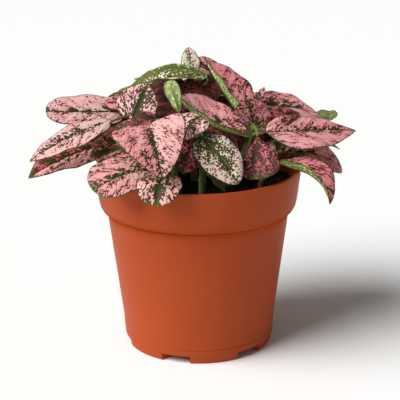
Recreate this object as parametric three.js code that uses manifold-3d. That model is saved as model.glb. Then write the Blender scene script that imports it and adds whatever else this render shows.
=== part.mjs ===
// A potted polka dot plant: a plastic grow pot, its potting mix and eleven leafy stems.
// Millimetres, +Z up. The origin is on the ground, on the pot's axis; the front is -Y.
import * as THREE from "three";
import { mergeVertices } from "three/addons/utils/BufferGeometryUtils.js";
import Module from "manifold-3d";

const wasm = await Module();
wasm.setup();

// Pot
const RIM_RADIUS = 52.5;
const POT_HEIGHT = 93;
const FOOT_RADIUS = 37.6;
const WALL = 1.4;
const FLOOR_HEIGHT = 4.4;
const FLOOR_THICKNESS = 1.6;
const FOOT_WIDTH = 5;
const NOTCHES = 6;
const FIRST_NOTCH = -18;
const NOTCH_OUTSIDE = 18;
const NOTCH_INSIDE = 9;
const DRAIN_RADIUS = 3.5;
const DRAIN_CIRCLE = 25;
const POT_SIDES = 40;

// Potting mix
const SOIL_HEIGHT = 84;
const SOIL_GAP = 0.3;
const SOIL_RELIEF = 0.9;
const SOIL_SIDES = 24;

// Stems and leaves
const STEM_RADIUS = 1.9;
const STEM_TOP_RADIUS = 1.1;
const STEM_SIDES = 6;
const ROOT_DEPTH = 5;
const PETIOLE_RADIUS = 1.0;
const PETIOLE_SIDES = 3;
const RIB_REACH = 0.12;
const BLADE_THICKNESS = 0.7;
const BLADE_STEP = 9;
const BLADE_STRIPS = 4;
const RIPPLE = 0.5;
const RIPPLES = 2.5;
const SEED = 7;

const Z = new THREE.Vector3(0, 0, 1);
const radians = THREE.MathUtils.degToRad;
const vector = (point) => new THREE.Vector3(...point);

// Solids

function solid(geometry) {
  const bare = geometry.index ? geometry.toNonIndexed() : geometry.clone();
  bare.deleteAttribute("normal");
  bare.deleteAttribute("uv");
  const merged = mergeVertices(bare, 1e-4);
  return new wasm.Manifold(
    new wasm.Mesh({
      numProp: 3,
      vertProperties: new Float32Array(merged.attributes.position.array),
      triVerts: new Uint32Array(merged.index.array),
    }),
  );
}

function mesh(name, body, material) {
  const { vertProperties, triVerts } = body.getMesh();
  const geometry = new THREE.BufferGeometry();
  geometry.setAttribute("position", new THREE.BufferAttribute(vertProperties, 3));
  geometry.setIndex(new THREE.BufferAttribute(triVerts, 1));
  geometry.computeVertexNormals();
  const made = new THREE.Mesh(geometry, material);
  made.name = name;
  return made;
}

// A closed solid over a grid of points, rows by columns, with a front and a back layer.
// Both layers are split into triangles alike, so that they never cross.
function sheet(rows, columns, pointAt) {
  const points = [];
  for (const side of [1, -1])
    for (let row = 0; row < rows; row++)
      for (let column = 0; column < columns; column++)
        points.push(pointAt(row / (rows - 1), (2 * column) / (columns - 1) - 1, side));
  const layer = rows * columns;
  const faces = [];
  for (let row = 0; row < rows - 1; row++)
    for (let column = 0; column < columns - 1; column++) {
      const a = row * columns + column;
      const [b, c, d] = [a + 1, a + columns + 1, a + columns];
      faces.push(a, b, c, a, c, d);
      faces.push(layer + a, layer + c, layer + b, layer + a, layer + d, layer + c);
    }
  const border = [];
  for (let column = 0; column < columns - 1; column++) border.push(column);
  for (let row = 0; row < rows - 1; row++) border.push(row * columns + columns - 1);
  for (let column = columns - 1; column > 0; column--) border.push((rows - 1) * columns + column);
  for (let row = rows - 1; row > 0; row--) border.push(row * columns);
  border.forEach((from, index) => {
    const to = border[(index + 1) % border.length];
    faces.push(from, layer + from, layer + to, from, layer + to, to);
  });
  return closed(points, faces);
}

// A round solid along a curve, its radius running from the first to the last value.
function taperedTube(curve, first, last, steps, sides) {
  const { normals, binormals } = curve.computeFrenetFrames(steps, false);
  const points = [];
  for (let step = 0; step <= steps; step++) {
    const centre = curve.getPointAt(step / steps);
    const radius = THREE.MathUtils.lerp(first, last, step / steps);
    for (let side = 0; side < sides; side++) {
      const angle = (2 * Math.PI * side) / sides;
      const point = centre.clone();
      point.addScaledVector(normals[step], radius * Math.cos(angle));
      point.addScaledVector(binormals[step], radius * Math.sin(angle));
      points.push(point);
    }
  }
  const faces = [];
  for (let step = 0; step < steps; step++)
    for (let side = 0; side < sides; side++) {
      const a = step * sides + side;
      const b = step * sides + ((side + 1) % sides);
      faces.push(a, b, b + sides, a, b + sides, a + sides);
    }
  const end = steps * sides;
  for (let side = 1; side < sides - 1; side++) {
    faces.push(0, side + 1, side);
    faces.push(end, end + side, end + side + 1);
  }
  return closed(points, faces);
}

function closed(points, faces) {
  const geometry = new THREE.BufferGeometry().setFromPoints(points);
  geometry.setIndex(faces);
  return solid(geometry);
}

// Pot

// The outer wall from the foot up: a tapered body, a creased shoulder and a deep collar.
const OUTER_WALL = [
  [FOOT_RADIUS, 0],
  [FOOT_RADIUS + 0.6, 1.2],
  [FOOT_RADIUS + 1.0, 3],
  [FOOT_RADIUS + 1.5, 7.5],
  [39.6, 14],
  [45.8, 63.5],
  [46.2, 67],
  [46.7, 69.2],
  [47.8, 71],
  [48.7, 72.1],
  [49.2, 72.4],
  [50.2, 74.2],
  [50.9, 77.5],
  [RIM_RADIUS - 0.1, 90.5],
  [RIM_RADIUS, 91.4],
  [RIM_RADIUS - 0.3, POT_HEIGHT],
];

// Heights where the inner face changes its slope, from the top down.
const INNER_HEIGHTS = [77.5, 71, 66, 14];

// The inner face of the wall at a height, a wall's thickness inside the outer one.
function innerRadius(height) {
  const next = OUTER_WALL.findIndex(([, z]) => z >= height);
  const [[r0, z0], [r1, z1]] = [OUTER_WALL[next - 1], OUTER_WALL[next]];
  return THREE.MathUtils.mapLinear(height, z0, z1, r0, r1) - WALL;
}

function potSolid() {
  const floorTop = FLOOR_HEIGHT + FLOOR_THICKNESS;
  const inner = [POT_HEIGHT, ...INNER_HEIGHTS, floorTop].map((z) => [innerRadius(z), z]);
  const footInside = FOOT_RADIUS - FOOT_WIDTH;
  const profile = [
    [0, FLOOR_HEIGHT],
    [footInside, FLOOR_HEIGHT],
    [footInside, 0],
    ...OUTER_WALL,
    ...inner,
    [0, floorTop],
  ];
  const shell = new THREE.LatheGeometry(profile.map(([r, z]) => new THREE.Vector2(r, z)), POT_SIDES);
  shell.rotateX(Math.PI / 2);
  let pot = solid(shell);
  for (let index = 0; index < NOTCHES; index++) {
    const turn = radians(FIRST_NOTCH + (360 / NOTCHES) * index);
    pot = pot.subtract(solid(notch().rotateZ(turn)));
    const drain = new THREE.CylinderGeometry(DRAIN_RADIUS, DRAIN_RADIUS, 12, 12);
    drain.rotateX(Math.PI / 2).translate(0, -DRAIN_CIRCLE, FLOOR_HEIGHT);
    pot = pot.subtract(solid(drain.rotateZ(turn)));
  }
  return pot;
}

// A drainage notch through the foot, wider outside than inside, opening toward -Y.
function notch() {
  const outline = new THREE.Shape([
    new THREE.Vector2(-NOTCH_OUTSIDE / 2, -FOOT_RADIUS - 2),
    new THREE.Vector2(NOTCH_OUTSIDE / 2, -FOOT_RADIUS - 2),
    new THREE.Vector2(NOTCH_INSIDE / 2, FOOT_WIDTH + 1 - FOOT_RADIUS),
    new THREE.Vector2(-NOTCH_INSIDE / 2, FOOT_WIDTH + 1 - FOOT_RADIUS),
  ]);
  const block = new THREE.ExtrudeGeometry(outline, { depth: FLOOR_HEIGHT + 1, bevelEnabled: false });
  return block.translate(0, 0, -1.4);
}

// Potting mix

function soilSolid(stems) {
  const base = FLOOR_HEIGHT + FLOOR_THICKNESS + SOIL_GAP;
  const gap = SOIL_GAP + 0.1;
  const side = [base, ...INNER_HEIGHTS.toReversed(), SOIL_HEIGHT].map((z) => [innerRadius(z) - gap, z]);
  const top = [38, 26, 13].map((r) => [r, SOIL_HEIGHT]);
  const profile = [[0, base], ...side, ...top, [0, SOIL_HEIGHT]];
  const heap = new THREE.LatheGeometry(profile.map(([r, z]) => new THREE.Vector2(r, z)), SOIL_SIDES);
  heap.rotateX(Math.PI / 2);
  const points = heap.attributes.position;
  for (let index = 0; index < points.count; index++) {
    if (points.getZ(index) < SOIL_HEIGHT - 0.01) continue;
    const [x, y] = [points.getX(index), points.getY(index)];
    const lumps = Math.sin(x * 0.61 + 1) * Math.sin(y * 0.53) + 0.5 * Math.sin(x * 0.23 - y * 0.31);
    points.setZ(index, SOIL_HEIGHT + SOIL_RELIEF * lumps);
  }
  let soil = solid(heap);
  for (const [x, y] of stems) {
    const hole = new THREE.CylinderGeometry(STEM_RADIUS + 0.35, STEM_RADIUS + 0.35, 20, 10);
    hole.rotateX(Math.PI / 2).translate(x, y, SOIL_HEIGHT - ROOT_DEPTH - 0.35 + 10);
    soil = soil.subtract(solid(hole));
  }
  return soil;
}

// Leaves

// How far out the margin stands at a point along the blade, from 0 at its base to 1 at its tip.
function outline(along, foot, point) {
  const peak = foot / (foot + point);
  const most = peak ** foot * (1 - peak) ** point;
  return (along ** foot * (1 - along) ** point) / most;
}

// A leaf runs from its base to its tip. Its upper face is turned by roll about that line, and
// twist turns it further on the way. arch lifts the middle of the midrib and hook its last third.
// fold lifts the two halves, left and right of the midrib, camber curls them along their width,
// share scales their widths, and foot and point shape the outline toward base and tip.
class Leaf {
  constructor(base, tip, width, look = {}) {
    this.base = vector(base);
    this.tip = vector(tip);
    this.width = width;
    this.look = {
      roll: 0,
      twist: 0,
      arch: 3,
      hook: 0,
      fold: [14, 14],
      camber: [-22, -22],
      share: [1, 1],
      foot: 0.5,
      point: 0.75,
      ...look,
    };
    this.line = this.tip.clone().sub(this.base).normalize();
    const up = Z.clone().addScaledVector(this.line, -Z.dot(this.line)).normalize();
    this.up = up.applyAxisAngle(this.line, radians(this.look.roll));
  }

  get length() {
    return this.tip.distanceTo(this.base);
  }

  midrib(along) {
    const { arch, hook } = this.look;
    const rest = 1 - along;
    const lift = 4 * arch * along * rest + 6.75 * hook * along * along * rest;
    return this.base.clone().lerp(this.tip, along).addScaledVector(this.up, lift);
  }

  frame(along) {
    const ahead = this.midrib(along + 0.001).sub(this.midrib(along - 0.001)).normalize();
    const across = ahead.clone().cross(this.up).normalize();
    const out = across.clone().cross(ahead);
    const twist = radians(this.look.twist * (along - 0.4));
    across.applyAxisAngle(ahead, twist);
    out.applyAxisAngle(ahead, twist);
    return { ahead, across, out };
  }

  // A point on the blade's middle surface, with the surface's normal there.
  surface(along, across) {
    const { fold, camber, share, foot, point } = this.look;
    const half = across < 0 ? 0 : 1;
    const sign = across < 0 ? -1 : 1;
    const q = Math.abs(across);
    const margin = (this.width / 2) * share[half] * outline(along, foot, point);
    const reach = Math.max(margin, 0.45);
    const first = radians(fold[half]);
    const curl = radians(camber[half]) || 1e-6;
    const outward = (Math.sin(first + curl * q) - Math.sin(first)) / curl;
    const upward = (Math.cos(first) - Math.cos(first + curl * q)) / curl;
    const phase = half ? 1.3 : 3.9;
    const fade = Math.min(1, 4 * (1 - along));
    const wave = RIPPLE * q * q * Math.sin(2 * Math.PI * RIPPLES * along + phase) * fade;
    const axes = this.frame(along);
    const place = this.midrib(along);
    place.addScaledVector(axes.across, sign * reach * outward);
    place.addScaledVector(axes.out, reach * upward + wave);
    const lean = q ? first + curl * q : 0;
    const normal = axes.out.clone().multiplyScalar(Math.cos(lean));
    normal.addScaledVector(axes.across, -sign * Math.sin(lean));
    const thin = q ? 1 : 1 / Math.cos(radians((fold[0] + fold[1]) / 2));
    return { place, normal: normal.multiplyScalar(thin) };
  }

  blade() {
    const rows = Math.max(5, Math.round(this.length / BLADE_STEP) + 1);
    return sheet(rows, BLADE_STRIPS + 1, (along, across, side) => {
      const { place, normal } = this.surface(along, across);
      return place.addScaledVector(normal, (side * BLADE_THICKNESS) / 2);
    });
  }

  // The stalk, from inside the stem to a little way along the midrib.
  petiole(from) {
    const start = this.frame(0.01);
    const gap = from.distanceTo(this.base);
    const before = this.base.clone().addScaledVector(start.ahead, -0.45 * gap);
    const turn = from.clone().lerp(before, 0.6).addScaledVector(Z, 0.12 * gap);
    const rib = [0.02, RIB_REACH].map((along) => this.midrib(along));
    const curve = new THREE.CatmullRomCurve3([from, turn, ...rib], false, "centripetal");
    return taperedTube(curve, PETIOLE_RADIUS, PETIOLE_RADIUS / 2, 3, PETIOLE_SIDES);
  }
}

// Leafy stems: where each stem stands and leans to, and its leaves with the share of the
// stem's height that each grows from. Those that face the front are placed one by one.
const STEMS = {
  stem_front_left: {
    path: [[-10, -22], [-14, -24, 104], [-20, -25, 120]],
    leaves: [
      [1, [-23, -34, 122], [-16, -62, 104], 34, { roll: 8, twist: -20, foot: 0.12, point: 0.65,
        fold: [20, 14], camber: [-20, -14], share: [1, 1.1] }],
      [0.45, [-16, -46, 101], [-19, -60, 90], 22, { foot: 0.4, point: 0.45 }],
      [0.4, [-23, -30, 99], [-49, -48, 94], 27, { roll: -22, foot: 0.6, point: 0.4 }],
      [0.6, [-20, -24, 108.5], [-52, -21, 105.5], 33, { roll: -42, arch: 1 }],
      [0.95, [-20, -20, 122], [-33, -19, 114], 13, { roll: -40 }],
    ],
    others: [],
  },
  stem_left: {
    path: [[-24, -4], [-30, -6, 104], [-33, -8, 121]],
    leaves: [
      [1, [-38, 0, 121], [-75, -8, 123], 21,
        { roll: -32, arch: 0, fold: [10, 14], share: [0.95, 1.1], foot: 0.25, point: 0.34 }],
      [0.95, [-42, -16, 120], [-80, -36, 105], 19,
        { roll: -20, fold: [10, 14], share: [1, 0.75], foot: 0.7, point: 0.9 }],
      [0.6, [-47, -6, 105], [-82, -30, 95], 22,
        { roll: -22, fold: [4, 20], share: [0.8, 1.2], foot: 0.4, point: 0.9 }],
      [0.95, [-32, -11, 119], [-24.5, -5, 136.5], 26, { roll: 25, arch: -1, share: [1, 0.8], point: 0.8 }],
      [1, [-33, 0, 122], [-48, 9, 125], 16, { roll: -20 }],
      [0.85, [-35, -2, 115], [-52, 8, 112], 20, { roll: -14 }],
      [0.75, [-38, -5, 113], [-55, -5, 103], 20, { roll: -20 }],
    ],
    others: [],
  },
  stem_middle: {
    path: [[-2, 2], [-2, 6, 110], [0, 8, 132]],
    leaves: [
      [1, [5, 6, 138], [-33, 6, 133.5], 20, { roll: -10, arch: 6, camber: [-50, -50] }],
      [1, [-3, 14, 137], [-4.5, 20, 150], 10, { arch: 1 }],
      [1, [10.5, 17, 133], [-0.5, 19, 145], 12, { roll: -60, arch: 1 }],
      [0.85, [-6, 10, 134], [12, 8, 127.5], 19, { roll: 40, share: [0.75, 1] }],
      [0.8, [-7, 4, 122], [-28, -1, 112], 24, { roll: -8 }],
      [0.5, [-7, -3, 107], [-22, -13, 97], 22, {}],
      [0.5, [3, -2, 105], [12, -14, 93], 18, { roll: 12 }],
      [1, [-7, 13, 134], [-20, 9, 116], 26, { roll: -40, arch: 2 }],
    ],
    others: [],
  },
  stem_right: {
    path: [[16, -6], [24, -8, 104], [28, -7, 115]],
    leaves: [
      [1, [25.5, 4, 115], [4.5, 15, 144], 24, { arch: -1.5, foot: 0.55, point: 0.8,
        fold: [75, 50], camber: [0, -20], share: [0.3, 1.15] }],
      [1, [27, -16, 112], [-9, -11, 130], 27, { arch: -3, hook: -1, twist: 25, foot: 0.75,
        fold: [45, 40], camber: [0, -10], share: [0.25, 1.2], point: 0.42 }],
      [0.7, [29, -24, 114], [26, -38, 96], 20,
        { roll: 16, arch: 1, fold: [10, 20], share: [1.4, 0.6], foot: 1.1, point: 0.4 }],
      [1, [35, -6, 111], [82, 14, 107], 30,
        { roll: 26, arch: 1, foot: 0.5, point: 0.95, share: [0.8, 1.05] }],
      [1, [34, 2, 113], [52, 14, 117], 14, { roll: 20, arch: 1 }],
      [1, [30, -1, 108], [26, 5, 126], 24, { arch: -1, point: 0.5 }],
      [0.75, [20, 2, 115], [25, 0, 97], 16, { roll: 50 }],
    ],
    others: [[100, 0.5, 28, 15]],
  },
  stem_front: {
    path: [[2, -26], [2, -24, 104], [0, -22, 116]],
    leaves: [
      [0.95, [1, -29, 115], [19, -45, 96], 21, { roll: 26, camber: [-30, -30], point: 0.6 }],
      [0.8, [-1, -22, 112], [-7, -34, 98], 22, { roll: -14 }],
      [1, [2, -24, 123.5], [-6, -30, 114], 22, { roll: -10 }],
      [1, [3, -15, 116], [20, -17, 103], 24, { roll: 10 }],
      [0.35, [4, -30, 99], [13, -36, 89], 8, { arch: 1 }],
      [1, [-8.5, -16, 123], [-13.5, -17, 140], 8, { roll: 80, arch: 0, foot: 0.9, point: 0.35 }],
    ],
    others: [],
  },
  stem_front_right: {
    path: [[32, -12], [37, -12, 95], [39, -12, 101]],
    leaves: [
      [0.9, [41, -14, 98], [65, -24, 79], 22, { roll: 12, arch: 4, hook: 3, twist: 45, point: 0.8,
        fold: [25, 60], camber: [-20, 0], share: [1, 0.36] }],
    ],
    others: [[75, 0.8, 22, 0]],
  },
  stem_right_back: {
    path: [[26, 16], [32, 22, 104], [34, 26, 120]],
    leaves: [
      [1, [32, 22, 119], [64, 31, 112], 29, { roll: 22, arch: 2, fold: [10, 20], point: 0.7 }],
      [0.8, [56, 36, 108], [75, 44, 107], 17, { roll: -34, arch: 1, point: 0.4 }],
      [0.3, [45, 9, 97], [75.5, 16, 86.5], 27, { roll: 24, arch: 4, point: 0.5 }],
      [0.5, [54, 24, 100], [76, 30, 93], 14, { arch: 2 }],
      [1, [32.7, 21, 123.5], [34.8, 22, 128.6], 6, { arch: 0 }],
    ],
    others: [[100, 0.97, 28, 25]],
  },
  stem_left_back: {
    path: [[-20, 12], [-26, 14, 106], [-22, 18, 127]],
    leaves: [
      [1, [-20, 22, 132], [-45, 26, 124], 15, { arch: 1 }],
    ],
    others: [[172, 0.4, 36, 18], [140, 0.7, 32, 14], [100, 0.97, 24, 12], [195, 0.65, 28, 20]],
  },
  stem_back_left: {
    path: [[-14, 26], [-18, 28, 104], [-18, 29, 118]],
    leaves: [],
    others: [[130, 0.5, 34, 32], [80, 0.75, 28, 35], [155, 0.95, 30, 5], [60, 0.98, 22, 0]],
  },
  stem_back: {
    path: [[4, 22], [4, 24, 106], [5, 24, 124]],
    leaves: [
      [1, [-3, 23, 127], [-14, 14, 120], 20, { roll: -20 }],
      [1, [8, 22, 131], [22, 20, 122], 20, { roll: 20 }],
      [0.9, [12, 18, 125], [12, 7, 104], 21, { roll: 6 }],
      [0.85, [-9, 18, 121], [-12, 9, 104], 18, { roll: -8 }],
    ],
    others: [[92, 0.5, 32, 26], [30, 0.85, 30, 12], [105, 0.98, 32, 10]],
  },
  stem_back_right: {
    path: [[22, 30], [25, 30, 104], [26, 30, 112]],
    leaves: [
      [0.95, [29, 24, 117], [37, 12, 99], 18, { roll: 8 }],
      [1, [35, 20, 114], [46, 13, 104], 18, { roll: 14 }],
    ],
    others: [[48, 0.5, 34, 30], [75, 0.9, 26, 25], [0, 0.98, 24, 20], [110, 0.7, 27, 20]],
  },
};

function random(seed) {
  let state = seed;
  return () => {
    state = (state * 16807) % 2147483647;
    return state / 2147483647;
  };
}

function stemCurve(path) {
  const [[x, y], ...rest] = path;
  const foot = [[x, y, SOIL_HEIGHT - ROOT_DEPTH], [x, y, SOIL_HEIGHT + 3]];
  return new THREE.CatmullRomCurve3([...foot, ...rest].map(vector), false, "centripetal");
}

function leafyStem(path, leaves) {
  const curve = stemCurve(path);
  let whole = taperedTube(curve, STEM_RADIUS, STEM_TOP_RADIUS, 5, STEM_SIDES);
  for (const [share, leaf] of leaves) {
    whole = whole.add(leaf.petiole(curve.getPointAt(share * 0.98)));
    whole = whole.add(leaf.blade());
  }
  return whole;
}

function ruledLeaf(curve, [azimuth, share, length, droop], draw) {
  const out = new THREE.Vector3(Math.cos(radians(azimuth)), Math.sin(radians(azimuth)), 0);
  const base = curve.getPointAt(share).addScaledVector(out, 8).addScaledVector(Z, 3);
  const tip = base.clone().addScaledVector(out, length * Math.cos(radians(droop)));
  tip.addScaledVector(Z, -length * Math.sin(radians(droop)));
  const roll = 20 * draw() - 10;
  const arch = 3 + 2 * draw();
  const camber = [-20 - 15 * draw(), -20 - 15 * draw()];
  const width = length * (0.6 + 0.1 * draw());
  return [share, new Leaf(base.toArray(), tip.toArray(), width, { roll, arch, camber })];
}

// The whole plant

const terracotta = new THREE.MeshStandardMaterial({ color: 0xb5522f, roughness: 0.45, metalness: 0 });
const peat = new THREE.MeshStandardMaterial({ color: 0x1c1510, roughness: 1, metalness: 0 });
const foliage = new THREE.MeshStandardMaterial({ color: 0xe79aa0, roughness: 0.7, metalness: 0 });

const plant = new THREE.Group();
plant.add(mesh("pot", potSolid(), terracotta));
const roots = Object.values(STEMS).map(({ path }) => path[0]);
plant.add(mesh("potting_mix", soilSolid(roots), peat));
const draw = random(SEED);
for (const [name, { path, leaves, others }] of Object.entries(STEMS)) {
  const placed = leaves.map(([share, ...shape]) => [share, new Leaf(...shape)]);
  const grown = others.map((rule) => ruledLeaf(stemCurve(path), rule, draw));
  plant.add(mesh(name, leafyStem(path, [...placed, ...grown]), foliage));
}

export default plant;
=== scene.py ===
import math

import bpy
from mathutils import Matrix, Vector, noise


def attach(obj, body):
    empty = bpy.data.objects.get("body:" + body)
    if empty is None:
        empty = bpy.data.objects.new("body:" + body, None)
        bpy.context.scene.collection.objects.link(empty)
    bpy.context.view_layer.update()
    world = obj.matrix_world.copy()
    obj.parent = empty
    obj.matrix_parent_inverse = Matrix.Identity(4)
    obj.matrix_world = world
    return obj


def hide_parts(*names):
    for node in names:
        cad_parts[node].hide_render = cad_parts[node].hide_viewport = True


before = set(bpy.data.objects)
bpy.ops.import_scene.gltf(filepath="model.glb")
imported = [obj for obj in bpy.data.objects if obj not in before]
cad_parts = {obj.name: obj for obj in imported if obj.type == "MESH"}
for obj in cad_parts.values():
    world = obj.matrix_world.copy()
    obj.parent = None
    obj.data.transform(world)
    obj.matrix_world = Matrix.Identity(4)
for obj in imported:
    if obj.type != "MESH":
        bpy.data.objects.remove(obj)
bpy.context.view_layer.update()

# Pot
# The nursery pot is one injection moulding in terracotta-coloured polypropylene: a tapered body,
# a creased shoulder, a deep collar with a rounded lip, and a raised floor on a notched foot ring.

MM = 0.001
RIM_RADIUS = 52.5
POT_HEIGHT = 93
FOOT_RADIUS = 37.6
WALL = 1.4
FLOOR_HEIGHT = 4.4
FLOOR_THICKNESS = 1.6
FOOT_WIDTH = 5
NOTCHES = 6
FIRST_NOTCH = -18
NOTCH_OUTSIDE = 18
NOTCH_INSIDE = 9
DRAIN_RADIUS = 3.5
DRAIN_CIRCLE = 25
POT_SIDES = 144
CREASE_HEIGHT = 71.3
NOTCH_ROOF = 0.5
DRAIN_SIDES = 40
DRAIN_CUT = 12
POT_SMOOTHING = math.radians(35)
SMOOTHING = math.radians(60)
TERRACOTTA = 0xA34420
TERRACOTTA_WORN = 0xB2562F
# The colour of the painted shade in the crease under the collar.
CREASE_SHADE_COLOUR = 0x4A1A0C

# How far the block that cuts a notch runs past the foot ring, so that it cuts right through.
PAST_INSIDE = 1
PAST_OUTSIDE = 3
PAST_BELOW = 2

# Radius and height of each ring, from the foot up over the lip and down the inside to the floor.
OUTER_WALL = [
    (FOOT_RADIUS, 0.4), (FOOT_RADIUS + 0.4, 0), (FOOT_RADIUS + 0.7, 1.2), (FOOT_RADIUS + 1.0, 3),
    (FOOT_RADIUS + 1.35, FLOOR_HEIGHT - 0.4), (FOOT_RADIUS + 1.5, 6.9), (FOOT_RADIUS + 1.3, 7.2),
    (FOOT_RADIUS + 1.65, 7.6), (39.6, 14), (42.7, 39), (45.8, 63.5), (46.2, 67), (46.5, 69.6),
    (46.8, 71.2), (47.2, 71.7), (48.6, 72.0), (49.3, 72.5), (50.2, 74.2), (50.9, 77.5),
    (51.65, 84), (RIM_RADIUS - 0.1, 90.2), (RIM_RADIUS, 91.6), (RIM_RADIUS - 0.1, 92.6),
    (RIM_RADIUS - 0.5, POT_HEIGHT),
]
INNER_WALL = [
    (RIM_RADIUS - WALL, POT_HEIGHT - 0.1), (RIM_RADIUS - WALL - 0.3, 92.2), (49.5, 77.5), (45.5, 70.5),
    (44.7, 66), (38.2, 14), (37.4, FLOOR_HEIGHT + FLOOR_THICKNESS + 0.8),
    (36.6, FLOOR_HEIGHT + FLOOR_THICKNESS),
]
FLOOR_RINGS = [30, 20, 10]


def srgb(value):
    """An sRGB colour written as a hex number, as a linear colour with alpha."""
    parts = [(value >> shift & 255) / 255 for shift in (16, 8, 0)]
    linear = [c / 12.92 if c <= 0.04045 else ((c + 0.055) / 1.055) ** 2.4 for c in parts]
    return (*linear, 1)


def socket(sockets, name):
    return next(s for s in sockets if name in (s.identifier, s.name))


def add(tree, kind, inputs, **settings):
    """Adds a node. An input takes a value, a node or a node with the name of its output."""
    made = tree.nodes.new(kind)
    for name, value in settings.items():
        setattr(made, name, value)
    for name, value in inputs.items():
        if isinstance(value, bpy.types.Node):
            value = (value, next(s for s in value.outputs if s.enabled).identifier)
        if isinstance(value, tuple) and isinstance(value[0], bpy.types.Node):
            tree.links.new(socket(value[0].outputs, value[1]), socket(made.inputs, name))
        else:
            socket(made.inputs, name).default_value = value
    return made


def ramp(tree, value, low, high, first=0, last=1):
    """Runs from first to last while a value runs from low to high."""
    return add(tree, "ShaderNodeMapRange", {
        "Value": value, "From Min": low, "From Max": high, "To Min": first, "To Max": last})


def mix(tree, share, first, last):
    """Turns from the first colour to the last. A colour is a hex number, a node or its output."""
    first, last = (srgb(colour) if isinstance(colour, int) else colour for colour in (first, last))
    return add(tree, "ShaderNodeMix", {"Factor_Float": share, "A_Color": first, "B_Color": last},
               data_type="RGBA")


def maths(tree, operation, *values):
    names = ("Value", "Value_001", "Value_002")
    return add(tree, "ShaderNodeMath", dict(zip(names, values)), operation=operation)


def cells(tree, at, scale, detail, **settings):
    """A noise from 0 to 1, with scale as its number of cells in one unit of at."""
    made = add(tree, "ShaderNodeTexNoise", {"Vector": at, "Scale": scale, "Detail": detail}, **settings)
    return made, "Fac"


def bumps(tree, height, strength, depth, under=None, invert=False):
    """Relief in the shading, on top of other relief if there is any."""
    inputs = {"Height": height, "Strength": strength, "Distance": depth}
    if under is not None:
        inputs["Normal"] = under
    return add(tree, "ShaderNodeBump", inputs, invert=invert)


def surface(tree, inputs):
    shader = add(tree, "ShaderNodeBsdfPrincipled", inputs)
    add(tree, "ShaderNodeOutputMaterial", {"Surface": shader})


def new_material(name):
    """An empty node material and its tree."""
    material = bpy.data.materials.new(name)
    material.use_nodes = True
    material.node_tree.nodes.clear()
    return material, material.node_tree


def select_only(*objects):
    bpy.ops.object.select_all(action="DESELECT")
    for item in objects:
        item.select_set(True)
    bpy.context.view_layer.objects.active = objects[0]


def turned(name, rings, sides):
    """A round body drawn ring by ring upward from a circle, closed by a face at each end."""
    bpy.ops.object.select_all(action="DESELECT")
    radius, height = rings[0]
    bpy.ops.mesh.primitive_circle_add(
        vertices=sides, radius=radius * MM, fill_type="NGON", location=(0, 0, height * MM))
    body = bpy.context.object
    body.name = body.data.name = name
    bpy.ops.object.transform_apply()
    bpy.ops.object.mode_set(mode="EDIT")
    for (r0, z0), (r1, z1) in zip(rings, rings[1:]):
        bpy.ops.mesh.extrude_region_move(TRANSFORM_OT_translate={"value": (0, 0, (z1 - z0) * MM)})
        grow = r1 / r0
        bpy.ops.transform.resize(value=(grow, grow, 1), center_override=(0, 0, z1 * MM))
    bpy.ops.mesh.select_all(action="SELECT")
    bpy.ops.mesh.normals_make_consistent(inside=False)
    bpy.ops.object.mode_set(mode="OBJECT")
    return body


def apply_modifier(body, kind, **settings):
    select_only(body)
    modifier = body.modifiers.new(kind.title(), kind)
    for name, value in settings.items():
        setattr(modifier, name, value)
    bpy.ops.object.modifier_apply(modifier=modifier.name)


def cut(body, tool):
    apply_modifier(body, "BOOLEAN", operation="DIFFERENCE", object=tool, solver="EXACT")
    bpy.data.objects.remove(tool)


def foot_notch(turn):
    """The block that a drainage notch is cut with: wide outside, narrow inside."""
    bpy.ops.mesh.primitive_cube_add(size=1)
    block = bpy.context.object
    inside, outside = FOOT_RADIUS - FOOT_WIDTH - PAST_INSIDE, FOOT_RADIUS + PAST_OUTSIDE
    for corner in block.data.vertices:
        far = corner.co.y < 0
        width = NOTCH_OUTSIDE if far else NOTCH_INSIDE
        top = FLOOR_HEIGHT - NOTCH_ROOF if corner.co.z > 0 else -PAST_BELOW
        reach = outside if far else inside
        corner.co = Vector((math.copysign(width / 2, corner.co.x), -reach, top)) * MM
    block.data.transform(Matrix.Rotation(turn, 4, "Z"))
    return block


def drain_hole(turn):
    place = Matrix.Rotation(turn, 3, "Z") @ Vector((0, -DRAIN_CIRCLE, FLOOR_HEIGHT)) * MM
    bpy.ops.mesh.primitive_cylinder_add(
        vertices=DRAIN_SIDES, radius=DRAIN_RADIUS * MM, depth=DRAIN_CUT * MM, location=place)
    return bpy.context.object


def plastic():
    """Polypropylene from a fine-textured mould: satin, even in colour, paler where it was rubbed, with
    painted shade in the crease.
    """
    material, tree = new_material("terracotta polypropylene")
    place = (add(tree, "ShaderNodeTexCoord", {}), "Object")
    cloud = cells(tree, place, 38, 3)
    worn = ramp(tree, cloud, 0.35, 0.75, 0, 0.22)
    colour = mix(tree, worn, TERRACOTTA, TERRACOTTA_WORN)
    # Painted shade darkens the crease under the collar in a line of about 1.5 mm, and the plastic
    # beside it has no sheen.
    height = add(tree, "ShaderNodeSeparateXYZ", {"Vector": place})
    off = maths(tree, "SUBTRACT", (height, "Z"), CREASE_HEIGHT * MM)
    away = maths(tree, "ABSOLUTE", off)
    crease_shade = ramp(tree, away, 0.0002, 0.0012, 0.4, 0)
    colour = mix(tree, crease_shade, colour, CREASE_SHADE_COLOUR)
    sheen = ramp(tree, away, 0.002, 0.005, 0, 0.09)
    # Mould texture of about 0.4 mm over slight sinks of about 12 mm.
    fine = bumps(tree, cells(tree, place, 2500, 2), 0.12, 0.0002)
    bump = bumps(tree, cells(tree, place, 80, 1), 0.25, 0.0006, under=fine)
    rough = ramp(tree, cloud, 0, 1, 0.4, 0.52)
    surface(tree, {"Base Color": colour, "Roughness": rough, "IOR": 1.49, "Normal": bump,
                   "Specular IOR Level": sheen})
    return material


def dress(piece, slot, *nodes):
    """The piece rides with the plant and stands for its nodes, which it hides. slot is not used."""
    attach(piece, "root")
    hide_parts(*nodes)


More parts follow.
